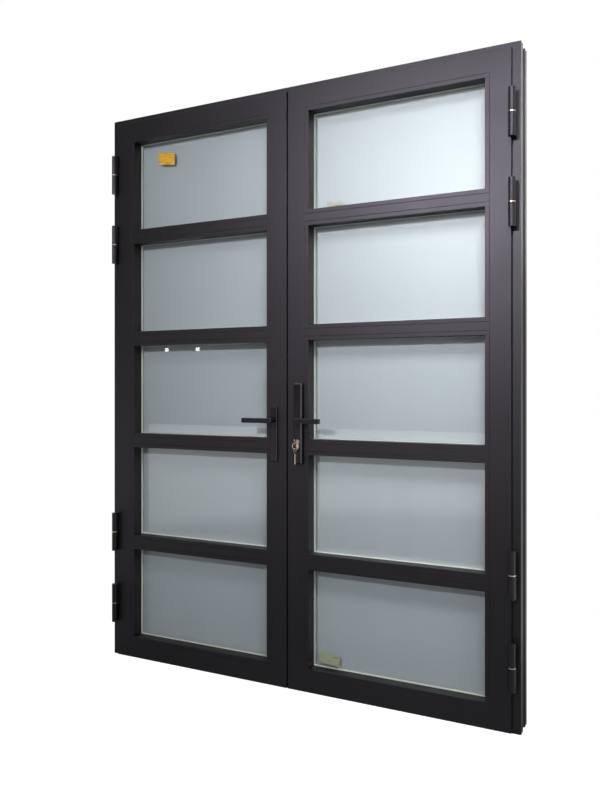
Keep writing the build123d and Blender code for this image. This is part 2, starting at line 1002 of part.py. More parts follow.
def lug_heights(leaf):
    """Heights of the lugs that drive the top and bottom bolts of a leaf."""
    if leaf is left:
        return dead_bolt_height + gearbox_lug_spread, dead_bolt_height - gearbox_lug_spread
    return right_plate_top - right_lug_inset, right_plate_bottom + right_lug_inset


def lug_slots(leaf):
    """Slots for the drive lugs, as long as the bolts travel."""
    top, bottom = lug_heights(leaf)
    half_height = lug_height / 2 + bolt_clearance
    half_width = lug_width / 2 + bolt_clearance
    y = leaf_front + bolt_channel_depth
    x = leaf.body_edge + leaf.toward * adaptor_nose / 2
    inner = leaf.body_edge - leaf.toward * (wall + lock_case_clearance + lug_reach + lug_clearance)
    for low, high in ((top, top + bolt_travel), (bottom - bolt_travel, bottom)):
        solid_block(
            (x, y - half_width, low - half_height),
            (inner, y + half_width, high + half_height),
            mode=Mode.SUBTRACT,
        )


def shoot_bolt(leaf, upper):
    """A round bolt with its drive lug, drawn back behind the end of its channel."""
    top, bottom = lug_heights(leaf)
    x, y = bolt_position(leaf)
    lug = top if upper else bottom
    tip = body_top - bolt_sink if upper else body_bottom + bolt_sink
    root = lug - lug_height if upper else lug + lug_height
    inner = leaf.body_edge - leaf.toward * (wall + lock_case_clearance + lug_reach)
    with BuildPart() as bolt:
        with Locations((x, y, (tip + root) / 2)):
            Cylinder(bolt_diameter / 2, abs(tip - root))
        solid_block(
            (x, y - lug_width / 2, lug - lug_height / 2),
            (inner, y + lug_width / 2, lug + lug_height / 2),
        )
    return bolt


# Locks

def case_edges(leaf):
    """Near and far sides of a lock case or gearbox in the meeting stile's chamber."""
    near = leaf.body_edge - leaf.toward * (wall + lock_case_clearance)
    return near, near - leaf.toward * case_width


def hub_hole(leaf, height):
    """Hole for the hub that the spindle turns in."""
    drill((leaf.handle_x, leaf_front, height), (0, -1, 0), hub_diameter, leaf_depth)


def screw_holes(leaf, heights, depth):
    """Clearance holes for the screws of a handle plate."""
    for height in heights:
        start = (leaf.handle_x, leaf_front, height)
        drill(start, (0, -1, 0), screw_diameter + 2 * bolt_clearance, depth)


def gearbox():
    """Gearbox that turns the left lever's quarter turn into the travel of both bolts."""
    near, far = case_edges(left)
    middle = (left_plate_bottom + left_plate_top) / 2
    with BuildPart() as case:
        solid_block(
            (near, leaf_front + lock_case_front, middle - gearbox_height / 2),
            (far, leaf_front + lock_case_back, middle + gearbox_height / 2),
        )
        hub_hole(left, left_lever_height)
        screw_holes(left, left_screw_heights, leaf_inner_shell)
        lug_slots(left)
    return case


def dead_bolt_window(leaf):
    """Window for the dead bolt through the meeting edges of both leaves."""
    clear = bolt_clearance
    half_width = dead_bolt_width / 2 + clear
    half_thickness = dead_bolt_thickness / 2 + clear
    y = leaf_front + bolt_channel_depth
    nose = leaf.body_edge + leaf.toward * (adaptor_nose + meeting_gap)
    if leaf is left:
        reach = dead_bolt_throw - dead_bolt_sink - meeting_gap + clear
    else:
        reach = dead_bolt_length + dead_bolt_sink + clear
    inner = leaf.body_edge + leaf.toward * (adaptor_nose - reach)
    solid_block(
        (nose, y - half_thickness, dead_bolt_height - half_width),
        (inner, y + half_thickness, dead_bolt_height + half_width),
        mode=Mode.SUBTRACT,
    )


def dead_bolt():
    """Dead bolt of the right leaf, drawn back behind the meeting nose."""
    tip = right.body_edge + right.toward * (adaptor_nose - dead_bolt_sink)
    tail = tip - right.toward * dead_bolt_length
    y = leaf_front + bolt_channel_depth
    with BuildPart() as bolt:
        solid_block(
            (tip, y - dead_bolt_thickness / 2, dead_bolt_height - dead_bolt_width / 2),
            (tail, y + dead_bolt_thickness / 2, dead_bolt_height + dead_bolt_width / 2),
        )
        chamfer(bolt.edges().filter_by(Axis.Y).group_by(Axis.X)[0], dead_bolt_edge)
    return bolt


def strike_plate():
    """Steel plate on the left leaf's meeting nose, round the dead bolt's window."""
    nose = left.body_edge + left.toward * adaptor_nose
    y = leaf_front + bolt_channel_depth
    back = leaf_front + flange_thickness + adaptor_nose_depth - meeting_seal_width - 2 * seal_clearance
    with BuildPart() as plate:
        solid_block(
            (nose, back - strike_width, dead_bolt_height - strike_height / 2),
            (nose + strike_thickness, back, dead_bolt_height + strike_height / 2),
        )
        half_width = dead_bolt_width / 2 + bolt_clearance
        half_thickness = dead_bolt_thickness / 2 + bolt_clearance
        solid_block(
            (nose, y - half_thickness, dead_bolt_height - half_width),
            (nose + strike_thickness, y + half_thickness, dead_bolt_height + half_width),
            mode=Mode.SUBTRACT,
        )
    return plate


def cylinder_outline(clearance):
    """Outline of a profile cylinder: a round head over a narrow fin."""
    radius = cylinder_diameter / 2 + clearance
    half = cylinder_fin_width / 2 + clearance
    Circle(radius)
    block(-half, -cylinder_drop - clearance, half, 0)


def cylinder_plane(front):
    """Plane across the cylinder at a depth, with x along the doors."""
    return Plane(origin=(right.handle_x, front, cylinder_height), x_dir=(1, 0, 0), z_dir=(0, -1, 0))


def cylinder_hole():
    """Opening for the cylinder through a plate, a shell or the lock case."""
    with BuildSketch(cylinder_plane(cylinder_back)) as outline:
        cylinder_outline(bolt_clearance)
    extrude(to_extrude=outline.sketch, amount=cylinder_back - cylinder_front, mode=Mode.SUBTRACT)


def lock_case():
    """Lock case in the right meeting stile, behind the whole handle plate."""
    near, far = case_edges(right)
    with BuildPart() as case:
        solid_block(
            (near, leaf_front + lock_case_front, right_plate_bottom),
            (far, leaf_front + lock_case_back, right_plate_top),
        )
        hub_hole(right, right_lever_height)
        screw_holes(right, right_screw_heights, leaf_inner_shell)
        cylinder_hole()
        lug_slots(right)
        dead_bolt_window(right)
    return case


def lock_cylinder():
    """Profile cylinder through the right leaf, with the bore for its plug."""
    with BuildPart() as cylinder:
        with BuildSketch(cylinder_plane(cylinder_back)):
            cylinder_outline(0)
        extrude(amount=cylinder_back - cylinder_front)
        drill(
            (right.handle_x, cylinder_front, cylinder_height),
            (0, -1, 0),
            plug_diameter + 2 * running_clearance,
            plug_length,
        )
    return cylinder


def cylinder_plug():
    """Plug that turns in the cylinder, with the slot for the key."""
    length = plug_length - plug_end_clearance
    half_width = key_thickness / 2 + key_slot_clearance
    half_height = key_blade_width / 2 + key_slot_clearance
    with BuildPart() as plug:
        with BuildSketch(cylinder_plane(plug_front + length)):
            Circle(plug_diameter / 2)
        extrude(amount=length)
        solid_block(
            (right.handle_x - half_width, plug_front, cylinder_height - half_height),
            (
                right.handle_x + half_width,
                plug_front + key_blade_length + key_slot_clearance,
                cylinder_height + half_height,
            ),
            mode=Mode.SUBTRACT,
        )
    return plug


# Keys

ring_radius = (ring_diameter - ring_wire) / 2
ring_hang = key_bow_hole / 2 - ring_wire / 2 - ring_clearance


def key_blank(bow_y, bow_z, blade):
    """One key on edge: a round bow with its hole, and a blade in the direction given."""
    side = Plane(origin=(right.handle_x, bow_y, bow_z), x_dir=blade, z_dir=(1, 0, 0))
    with BuildSketch(side) as outline:
        Circle(key_bow_diameter / 2)
        tip = key_bow_diameter / 2 + key_neck + key_blade_length
        block(0, -key_blade_width / 2, tip, key_blade_width / 2)
        Circle(key_bow_hole / 2, mode=Mode.SUBTRACT)
    extrude(to_extrude=outline.sketch, amount=key_thickness / 2, both=True)


def keys():
    """The key in the lock, and a spare that hangs below it from the ring."""
    spare_height = cylinder_height - 2 * ring_hang - 2 * ring_radius
    with BuildPart() as pair:
        key_blank(key_bow_y, cylinder_height, (0, 1, 0))
        key_blank(key_bow_y, spare_height, (0, 0, -1))
    return pair


def key_ring():
    """Flat ring through the bows of both keys."""
    centre = cylinder_height - ring_hang - ring_radius
    front = Plane(origin=(right.handle_x, key_bow_y, centre), x_dir=(1, 0, 0), z_dir=(0, -1, 0))
    with BuildPart() as wire:
        with BuildSketch(front):
            Circle(ring_diameter / 2)
            Circle(ring_diameter / 2 - ring_wire, mode=Mode.SUBTRACT)
        extrude(amount=ring_wire / 2, both=True)
    return wire


# Handles

def plate_body(leaf, width, bottom, top, face, thickness):
    """A handle plate standing on a face; a negative thickness grows into the room."""
    middle = (leaf.handle_x, face, (bottom + top) / 2)
    plane = Plane(origin=middle, x_dir=(1, 0, 0), z_dir=(0, -1, 0))
    with BuildSketch(plane) as outline:
        Rectangle(width, top - bottom)
    extrude(to_extrude=outline.sketch, amount=thickness)


def countersunk_seat(height, face):
    """Seat for the countersunk screw of the left plate."""
    with Locations(Plane(origin=(left.handle_x, face, height), z_dir=(0, -1, 0))):
        CounterSinkHole(
            screw_diameter / 2 + bolt_clearance,
            screw_head_diameter / 2 + bolt_clearance,
            depth=left_plate_thickness,
            counter_sink_angle=90,
        )


def left_handle_plate():
    """Slim plate of the left handle, with a small cap near its top."""
    face = leaf_front - left_plate_thickness
    lower_screw, upper_screw = left_screw_heights
    with BuildPart() as plate:
        plate_body(
            left, left_plate_width, left_plate_bottom, left_plate_top, leaf_front, left_plate_thickness
        )
        fillet(plate.edges().filter_by(Axis.Y), plate_corner)
        chamfer(plate.faces().sort_by(Axis.Y)[0].edges(), plate_edge)
        drill(
            (left.handle_x, face, left_lever_height),
            (0, -1, 0),
            lever_neck_diameter + 2 * running_clearance,
            left_plate_thickness,
        )
        countersunk_seat(lower_screw, face)
        cap_bottom = left_plate_top - 2 * left_cap_height
        solid_block(
            (left.handle_x - left_cap_width / 2, face - left_cap_proud, cap_bottom),
            (left.handle_x + left_cap_width / 2, face, cap_bottom + left_cap_height),
        )
        drill(
            (left.handle_x, leaf_front, upper_screw),
            (0, 1, 0),
            screw_diameter + 2 * bolt_clearance,
            left_plate_thickness - hidden_screw_sink + bolt_clearance,
        )
    return plate


def right_handle_plates():
    """Room plate of the right handle with its bevelled edge, and the flatter outer plate."""
    with BuildPart() as plates:
        plate_body(
            right,
            right_plate_width,
            right_plate_bottom,
            right_plate_top,
            leaf_front,
            right_plate_thickness,
        )
        chamfer(plates.faces().sort_by(Axis.Y)[0].edges(), right_plate_bevel)
        plate_body(
            right,
            right_plate_width,
            right_plate_bottom,
            right_plate_top,
            outer_plate_face,
            outer_plate_thickness,
        )
        drill(
            (right.handle_x, room_plate_face, right_lever_height),
            (0, -1, 0),
            lever_neck_diameter + 2 * running_clearance,
            outer_plate_face - room_plate_face,
        )
        cylinder_hole()
        for height in right_screw_heights:
            start = (right.handle_x, outer_plate_face, height)
            shank = screw_diameter + 2 * bolt_clearance
            drill(start, (0, 1, 0), shank, long_screw_end() - bolt_clearance)
            head = screw_head_diameter + 2 * bolt_clearance
            drill(start, (0, 1, 0), head, screw_head_height + long_screw_sink)
    return plates


def long_screw_end():
    """Depth of the long screws' ends below the outer plate's face."""
    return outer_plate_thickness + leaf_depth + long_screw_grip


def lever(leaf, height, length, width, face, neck_root, into_room, bar_toward):
    """A lever handle: a round neck from the plate and a flat bar with a returned corner."""
    sign = -1 if into_room else 1
    bar_back = face + sign * (lever_stand_off - lever_thickness / 2)
    neck_plane = Plane(
        origin=(leaf.handle_x, neck_root, height),
        x_dir=(1, 0, 0),
        z_dir=(0, sign, 0),
    )
    with BuildSketch(neck_plane) as neck:
        Circle(lever_neck_diameter / 2)
    extrude(to_extrude=neck.sketch, amount=abs(bar_back - neck_root) + lever_thickness / 2)
    bar_plane = Plane(
        origin=(leaf.handle_x, bar_back, height),
        x_dir=(bar_toward, 0, 0),
        z_dir=(0, sign, 0),
    )
    heel = lever_neck_diameter / 2
    with BuildSketch(bar_plane) as bar:
        with Locations(((length - heel) / 2, 0)):
            RectangleRounded(length + heel, width, lever_corner)
    extrude(to_extrude=bar.sketch, amount=lever_thickness)


def spindle(leaf, height, front, back):
    """Square spindle through the hub."""
    half = spindle_width / 2
    solid_block(
        (leaf.handle_x - half, front, height - half),
        (leaf.handle_x + half, back, height + half),
    )


def hub(leaf, height):
    """Round hub that the spindle turns in the case."""
    plane = Plane(
        origin=(leaf.handle_x, leaf_front + lock_case_back, height), x_dir=(1, 0, 0), z_dir=(0, -1, 0)
    )
    with BuildSketch(plane) as disc:
        Circle(hub_diameter / 2 - running_clearance)
    extrude(to_extrude=disc.sketch, amount=lock_case_back - lock_case_front)


def left_lever():
    """Left lever with its spindle and hub, level and pointing to the hinges."""
    neck_root = leaf_front - neck_clearance
    with BuildPart() as handle:
        lever(
            left,
            left_lever_height,
            left_lever_length,
            left_lever_width,
            leaf_front,
            neck_root,
            True,
            -1,
        )
        chamfer(handle.faces().sort_by(Axis.Y)[0].edges(), lever_edge)
        spindle(left, left_lever_height, neck_root - spindle_root, leaf_front + lock_case_back)
        hub(left, left_lever_height)
    return handle


def right_lever():
    """Room lever of the right leaf, with the square hole that takes the spindle."""
    with BuildPart() as handle:
        lever(
            right,
            right_lever_height,
            right_lever_length,
            right_lever_width,
            leaf_front,
            leaf_front - neck_clearance,
            True,
            1,
        )
        chamfer(handle.faces().sort_by(Axis.Y)[0].edges(), lever_edge)
        half = spindle_width / 2 + strip_clearance
        solid_block(
            (right.handle_x - half, leaf_front, right_lever_height - half),
            (
                right.handle_x + half,
                leaf_front - spindle_engagement - strip_clearance,
                right_lever_height + half,
            ),
            mode=Mode.SUBTRACT,
        )
    return handle


def right_outer_lever():
    """Outer lever of the right leaf, made with the spindle and carrying the hub."""
    neck_root = leaf_back + neck_clearance
    with BuildPart() as handle:
        lever(
            right,
            right_lever_height,
            right_lever_length,
            right_lever_width,
            leaf_back,
            neck_root,
            False,
            1,
        )
        chamfer(handle.faces().sort_by(Axis.Y)[-1].edges(), lever_edge)
        spindle(
            right,
            right_lever_height,
            leaf_front - spindle_engagement,
            neck_root + spindle_root,
        )
        hub(right, right_lever_height)
    return handle


def screw_shank(leaf, front, back, height):
    """Round shank of a screw through a leaf, from front to back."""
    with Locations((leaf.handle_x, (front + back) / 2, height)):
        Cylinder(screw_diameter / 2, back - front, rotation=(90, 0, 0))


def left_handle_screws():
    """Two screws of the left plate: the lower one shows, the upper one ends under the cap."""
    face = leaf_front - left_plate_thickness
    lower_screw, upper_screw = left_screw_heights
    with BuildPart() as screws:
        screw_shank(left, face + screw_sink, leaf_front + screw_grip, lower_screw)
        head_plane = Plane(
            origin=(left.handle_x, face + screw_sink, lower_screw), x_dir=(1, 0, 0), z_dir=(0, 1, 0)
        )
        with BuildSketch(head_plane):
            Circle(screw_head_diameter / 2)
        extrude(amount=screw_head_height, taper=45)
        screw_shank(left, face + hidden_screw_sink, leaf_front + screw_grip, upper_screw)
    return screws


def right_handle_screws():
    """Two long screws from the outer plate that clamp it to the room plate."""
    head_face = outer_plate_face - long_screw_sink
    with BuildPart() as screws:
        for height in right_screw_heights:
            end = outer_plate_face - long_screw_end() + 2 * bolt_clearance
            screw_shank(right, end, head_face, height)
            with Locations((right.handle_x, head_face - screw_head_height / 2, height)):
                Cylinder(screw_head_diameter / 2, screw_head_height, rotation=(90, 0, 0))
    return screws


def left_meeting_stile():
    """Meeting stile of the left leaf, cut for its gearbox and handle."""
    bar = leaf_bar(left, "right")
    with BuildPart() as stile:
        add(bar.part)
        hub_hole_depth = leaf_inner_shell / 2
        drill(
            (left.handle_x, leaf_front, left_lever_height),
            (0, -1, 0),
            lever_neck_diameter + 2 * neck_clearance,
            hub_hole_depth,
        )
        screw_holes(left, left_screw_heights, hub_hole_depth)
        lug_slots(left)
    return stile


def right_meeting_stile():
    """Meeting stile of the right leaf, cut for its lock, cylinder and both handles."""
    bar = leaf_bar(right, "left")
    with BuildPart() as stile:
        add(bar.part)
        drill(
            (right.handle_x, leaf_front, right_lever_height),
            (0, -1, 0),
            lever_neck_diameter + 2 * neck_clearance,
            leaf_depth,
        )
        screw_holes(right, right_screw_heights, leaf_depth)
        cylinder_hole()
        lug_slots(right)
        dead_bolt_window(right)
    return stile


def build_leaf(leaf, hinge_side, meeting_stile):
    """Write every piece that both leaves have."""
    save(leaf_bar(leaf, hinge_side), f"{leaf.name}_hinge_stile")
    save(meeting_stile, f"{leaf.name}_meeting_stile")
    save(leaf_bar(leaf, "top"), f"{leaf.name}_top_rail")
    save(leaf_bar(leaf, "bottom"), f"{leaf.name}_bottom_rail")
    save(glazing_bars(leaf), f"{leaf.name}_glazing_bars")
    save(leaf_thermal_strips(leaf), f"{leaf.name}_thermal_strips")
    save(leaf_corner_cleats(leaf), f"{leaf.name}_corner_cleats")
    save(glazing_beads(leaf), f"{leaf.name}_glazing_beads")
    save(gaskets(leaf), f"{leaf.name}_gaskets")
    save(panes(leaf, clear_pane_front), f"{leaf.name}_clear_panes")
    save(spacers(leaf), f"{leaf.name}_spacers")
    save(panes(leaf, frosted_pane_front), f"{leaf.name}_frosted_panes")
    save(leaf_seals(leaf), f"{leaf.name}_seals")
    save(meeting_adaptor(leaf), f"{leaf.name}_meeting_adaptor")
    save(hinge_leaf_knuckles(leaf), f"{leaf.name}_hinge_knuckles")
    save(shoot_bolt(leaf, True), f"{leaf.name}_top_bolt")
    save(shoot_bolt(leaf, False), f"{leaf.name}_bottom_bolt")


os.makedirs("parts", exist_ok=True)

save(frame_bar("top"), "frame_head")
save(frame_bar("left"), "frame_jamb_left")
save(frame_bar("right"), "frame_jamb_right")
save(threshold_bar(), "threshold")
save(frame_thermal_strips(), "frame_thermal_strips")
save(frame_seal(), "frame_seal")
save(frame_corner_cleats(), "frame_corner_cleats")
save(hinge_frame_knuckles(), "frame_hinge_knuckles")
save(hinge_pins(), "hinge_pins")
save(hinge_washers(), "hinge_washers")
save(bolt_keeps(), "bolt_keeps")

build_leaf(left, "left", left_meeting_stile())
build_leaf(right, "right", right_meeting_stile())

save(left_handle_plate(), "left_handle_plate")
save(left_lever(), "left_lever")
save(left_handle_screws(), "left_handle_screws")
save(gearbox(), "left_gearbox")
save(strike_plate(), "strike_plate")

save(right_handle_plates(), "right_handle_plates")
save(right_lever(), "right_lever")
save(right_outer_lever(), "right_outer_lever")
save(right_handle_screws(), "right_handle_screws")
save(lock_case(), "right_lock_case")
save(dead_bolt(), "dead_bolt")
save(lock_cylinder(), "lock_cylinder")
save(cylinder_plug(), "cylinder_plug")
save(keys(), "keys")
save(key_ring(), "key_ring")
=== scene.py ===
import math

import bmesh
import bpy
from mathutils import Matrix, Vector


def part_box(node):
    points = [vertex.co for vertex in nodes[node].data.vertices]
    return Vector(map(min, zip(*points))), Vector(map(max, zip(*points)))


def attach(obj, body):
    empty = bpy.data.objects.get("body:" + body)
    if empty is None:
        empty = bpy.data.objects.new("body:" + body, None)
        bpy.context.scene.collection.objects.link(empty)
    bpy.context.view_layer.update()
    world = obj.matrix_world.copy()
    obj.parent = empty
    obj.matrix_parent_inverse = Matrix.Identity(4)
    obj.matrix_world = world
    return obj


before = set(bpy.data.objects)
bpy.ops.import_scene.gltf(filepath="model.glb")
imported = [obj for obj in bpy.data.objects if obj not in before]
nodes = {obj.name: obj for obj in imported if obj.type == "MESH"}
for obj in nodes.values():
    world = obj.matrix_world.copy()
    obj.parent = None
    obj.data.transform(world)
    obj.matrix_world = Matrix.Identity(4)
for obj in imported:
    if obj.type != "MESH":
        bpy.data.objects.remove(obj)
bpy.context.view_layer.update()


# Outer frame
# Two jambs and a head of extruded aluminium, mitred at the top corners, over a low
# threshold. They are powder coated in a satin anthracite whose fine grain sparkles.

FRAME_PIECES = ("frame_head", "frame_jamb_left", "frame_jamb_right", "threshold")
COAT_COLOUR = (0.0042, 0.0039, 0.0028, 1.0)
COAT_PALE = (0.0082, 0.0077, 0.0064, 1.0)
COAT_ROUGHNESS = 0.40
COAT_SHINE = 0.56
COAT_SHEEN_TINT = (0.88, 0.81, 0.98, 1.0)
COAT_GRAIN = 1400.0
COAT_BUMP = 0.10
COAT_BUMP_DEPTH = 0.0004
FLECK_START = 0.52
FLECK_FULL = 0.72
CLOUD_SCALE = 7.0
CLOUD_LEAST = 0.25
CLOUD_ROUGHNESS = 0.10


def new_material(name, colour, roughness):
    """A material with one Principled shader, and its node tree and shader."""
    material = bpy.data.materials.new(name)
    material.use_nodes = True
    tree = material.node_tree
    shader = tree.nodes["Principled BSDF"]
    shader.inputs["Base Color"].default_value = colour
    shader.inputs["Roughness"].default_value = roughness
    return material, tree, shader


def dress(names, material):
    """Give a finish to the pieces that come from the solid model."""
    for name in names:
        mesh = nodes[name].data
        mesh.materials.clear()
        mesh.materials.append(material)


def group_socket(group, name, kind, output=False, value=None):
    """Add a named socket to a node group."""
    direction = "OUTPUT" if output else "INPUT"
    socket = group.interface.new_socket(name=name, in_out=direction, socket_type=kind)
    if value is not None:
        socket.default_value = value
    return socket


powder = bpy.data.node_groups.new("powder_coat", "ShaderNodeTree")
group_socket(powder, "Colour", "NodeSocketColor")
group_socket(powder, "Pale Colour", "NodeSocketColor")
group_socket(powder, "Grain Scale", "NodeSocketFloat", value=COAT_GRAIN)
group_socket(powder, "Bump Strength", "NodeSocketFloat", value=COAT_BUMP)
group_socket(powder, "Roughness", "NodeSocketFloat", value=COAT_ROUGHNESS)
group_socket(powder, "Colour", "NodeSocketColor", output=True)
group_socket(powder, "Roughness", "NodeSocketFloat", output=True)
group_socket(powder, "Normal", "NodeSocketVector", output=True)
inside = powder.nodes.new("NodeGroupInput")
result = powder.nodes.new("NodeGroupOutput")
place = powder.nodes.new("ShaderNodeTexCoord")
grain = powder.nodes.new("ShaderNodeTexNoise")
grain.inputs["Detail"].default_value = 2.0
flecks = powder.nodes.new("ShaderNodeMapRange")
flecks.inputs["From Min"].default_value = FLECK_START
flecks.inputs["From Max"].default_value = FLECK_FULL
cloud = powder.nodes.new("ShaderNodeTexNoise")
cloud.inputs["Scale"].default_value = CLOUD_SCALE
cloud.inputs["Detail"].default_value = 3.0
uneven = powder.nodes.new("ShaderNodeMapRange")
uneven.inputs["To Min"].default_value = CLOUD_LEAST
uneven.inputs["To Max"].default_value = 1.0
blend = powder.nodes.new("ShaderNodeMath")
blend.operation = "MULTIPLY"
mix = powder.nodes.new("ShaderNodeMix")
mix.data_type = "RGBA"
rough = powder.nodes.new("ShaderNodeMath")
rough.operation = "MULTIPLY_ADD"
rough.inputs[1].default_value = CLOUD_ROUGHNESS
bump = powder.nodes.new("ShaderNodeBump")
bump.inputs["Distance"].default_value = COAT_BUMP_DEPTH
powder.links.new(place.outputs["Object"], grain.inputs["Vector"])
powder.links.new(place.outputs["Object"], cloud.inputs["Vector"])
powder.links.new(inside.outputs["Grain Scale"], grain.inputs["Scale"])
powder.links.new(grain.outputs["Fac"], flecks.inputs["Value"])
powder.links.new(cloud.outputs["Fac"], uneven.inputs["Value"])
powder.links.new(flecks.outputs["Result"], blend.inputs[0])
powder.links.new(uneven.outputs["Result"], blend.inputs[1])
powder.links.new(blend.outputs["Value"], mix.inputs["Factor"])
powder.links.new(inside.outputs["Colour"], mix.inputs["A"])
powder.links.new(inside.outputs["Pale Colour"], mix.inputs["B"])
powder.links.new(cloud.outputs["Fac"], rough.inputs[0])
powder.links.new(inside.outputs["Roughness"], rough.inputs[2])
powder.links.new(inside.outputs["Bump Strength"], bump.inputs["Strength"])
powder.links.new(grain.outputs["Fac"], bump.inputs["Height"])
powder.links.new(mix.outputs["Result"], result.inputs["Colour"])
powder.links.new(rough.outputs["Value"], result.inputs["Roughness"])
powder.links.new(bump.outputs["Normal"], result.inputs["Normal"])


def powder_coated(name, colour, pale, roughness, shine):
    """A powder-coated finish from the shared node group."""
    material, tree, shader = new_material(name, colour, roughness)
    shader.inputs["Specular IOR Level"].default_value = shine
    shader.inputs["Specular Tint"].default_value = COAT_SHEEN_TINT
    coat = tree.nodes.new("ShaderNodeGroup")
    coat.node_tree = powder
    coat.inputs["Colour"].default_value = colour
    coat.inputs["Pale Colour"].default_value = pale
    coat.inputs["Roughness"].default_value = roughness
    tree.links.new(coat.outputs["Colour"], shader.inputs["Base Color"])
    tree.links.new(coat.outputs["Roughness"], shader.inputs["Roughness"])
    tree.links.new(coat.outputs["Normal"], shader.inputs["Normal"])
    return material


anthracite = powder_coated(
    "anthracite_powder_coat", COAT_COLOUR, COAT_PALE, COAT_ROUGHNESS, COAT_SHINE
)
dress(FRAME_PIECES, anthracite)


# Thermal strips
# Pairs of black glass-filled polyamide strips that join the room shell of each bar to
# its outer shell. They are seen only in the slots between the shells.

STRIP_COLOUR = (0.012, 0.012, 0.012, 1.0)
STRIP_ROUGHNESS = 0.62
STRIP_GRAIN = 600.0
STRIP_SPREAD = 0.08
RELIEF_STRENGTH = 0.15
RELIEF_DEPTH = 0.0002


def speckled(name, colour, roughness, scale, spread):
    """A moulded or extruded finish with a little unevenness in its gloss."""
    material, tree, shader = new_material(name, colour, roughness)
    where = tree.nodes.new("ShaderNodeTexCoord")
    noise = tree.nodes.new("ShaderNodeTexNoise")
    noise.inputs["Scale"].default_value = scale
    noise.inputs["Detail"].default_value = 3.0
    level = tree.nodes.new("ShaderNodeMapRange")
    level.inputs["To Min"].default_value = roughness - spread
    level.inputs["To Max"].default_value = roughness + spread
    relief = tree.nodes.new("ShaderNodeBump")
    relief.inputs["Strength"].default_value = RELIEF_STRENGTH
    relief.inputs["Distance"].default_value = RELIEF_DEPTH
    tree.links.new(where.outputs["Object"], noise.inputs["Vector"])
    tree.links.new(noise.outputs["Fac"], level.inputs["Value"])
    tree.links.new(level.outputs["Result"], shader.inputs["Roughness"])
    tree.links.new(noise.outputs["Fac"], relief.inputs["Height"])
    tree.links.new(relief.outputs["Normal"], shader.inputs["Normal"])
    return material


polyamide = speckled("polyamide", STRIP_COLOUR, STRIP_ROUGHNESS, STRIP_GRAIN, STRIP_SPREAD)
dress(("frame_thermal_strips", "left_thermal_strips", "right_thermal_strips"), polyamide)


# Corner cleats
# Die-cast aluminium corners pressed into the hollow chambers, where they hold the mitred
# bars square. They are left bare, with the dull skin of the casting.

CLEAT_COLOUR = (0.46, 0.46, 0.47, 1.0)
CLEAT_ROUGHNESS = 0.48
CLEAT_GRAIN = 300.0


def set_metal(material, amount=1.0):
    """Make a finish metallic, wholly or by a share."""
    material.node_tree.nodes["Principled BSDF"].inputs["Metallic"].default_value = amount


cast = speckled("cast_aluminium", CLEAT_COLOUR, CLEAT_ROUGHNESS, CLEAT_GRAIN, 0.12)
set_metal(cast)
dress(("frame_corner_cleats", "left_corner_cleats", "right_corner_cleats"), cast)


# Leaves
# Stiles and rails mitred at four corners, with level glazing bars between the panes and
# a hollow adaptor behind each meeting edge. The coat is the same as the frame's.

LEAF_PARTS = (
    "hinge_stile",
    "meeting_stile",
    "top_rail",
    "bottom_rail",
    "glazing_bars",
    "glazing_beads",
    "meeting_adaptor",
)

for side in ("left", "right"):
    dress([f"{side}_{part}" for part in LEAF_PARTS], anthracite)


# Panes
# Each unit has a clear sheet towards the room and a satin-etched sheet behind it. The
# etched sheet is pale grey blue with faint vertical streaks of painted blur of the surroundings
# seen in the glass, and the clear one adds glare and a faint haze of dust.

FROST_COLOUR = (0.415, 0.440, 0.485, 1.0)
FROST_BLUR_PALE = (0.447, 0.474, 0.525, 1.0)
FROST_ROUGHNESS = 0.43
FROST_SHEEN = 0.60
FROST_CLEARNESS = 0.15
PAINTED_BLUR_SCALE = 26.0
CLEAR_TINT = (0.96, 0.985, 0.98, 1.0)
HAZE_WEIGHT = 0.28
HAZE_ROUGHNESS = 0.447
HAZE_INDEX = 1.5

frosted, frosted_tree, frosted_shader = new_material("satin_glass", FROST_COLOUR, FROST_ROUGHNESS)
frosted_shader.inputs["Transmission Weight"].default_value = FROST_CLEARNESS
frosted_shader.inputs["IOR"].default_value = 1.45
frosted_shader.inputs["Specular IOR Level"].default_value = FROST_SHEEN
# Faint vertical streaks in the etched sheet's colour are a painted blur of the surroundings seen
# in the glass.
frosted_place = frosted_tree.nodes.new("ShaderNodeTexCoord")
painted_blur_stretch = frosted_tree.nodes.new("ShaderNodeMapping")
painted_blur_stretch.inputs["Scale"].default_value = (PAINTED_BLUR_SCALE, 1.0, 0.6)
painted_blur = frosted_tree.nodes.new("ShaderNodeTexNoise")
painted_blur.inputs["Scale"].default_value = 1.0
painted_blur.inputs["Detail"].default_value = 2.0
painted_blur_mix = frosted_tree.nodes.new("ShaderNodeMix")
painted_blur_mix.data_type = "RGBA"
painted_blur_mix.inputs["A"].default_value = FROST_COLOUR
painted_blur_mix.inputs["B"].default_value = FROST_BLUR_PALE
frosted_tree.links.new(frosted_place.outputs["Object"], painted_blur_stretch.inputs["Vector"])
frosted_tree.links.new(painted_blur_stretch.outputs["Vector"], painted_blur.inputs["Vector"])
frosted_tree.links.new(painted_blur.outputs["Fac"], painted_blur_mix.inputs["Factor"])
frosted_tree.links.new(painted_blur_mix.outputs["Result"], frosted_shader.inputs["Base Color"])
dress(("left_frosted_panes", "right_frosted_panes"), frosted)

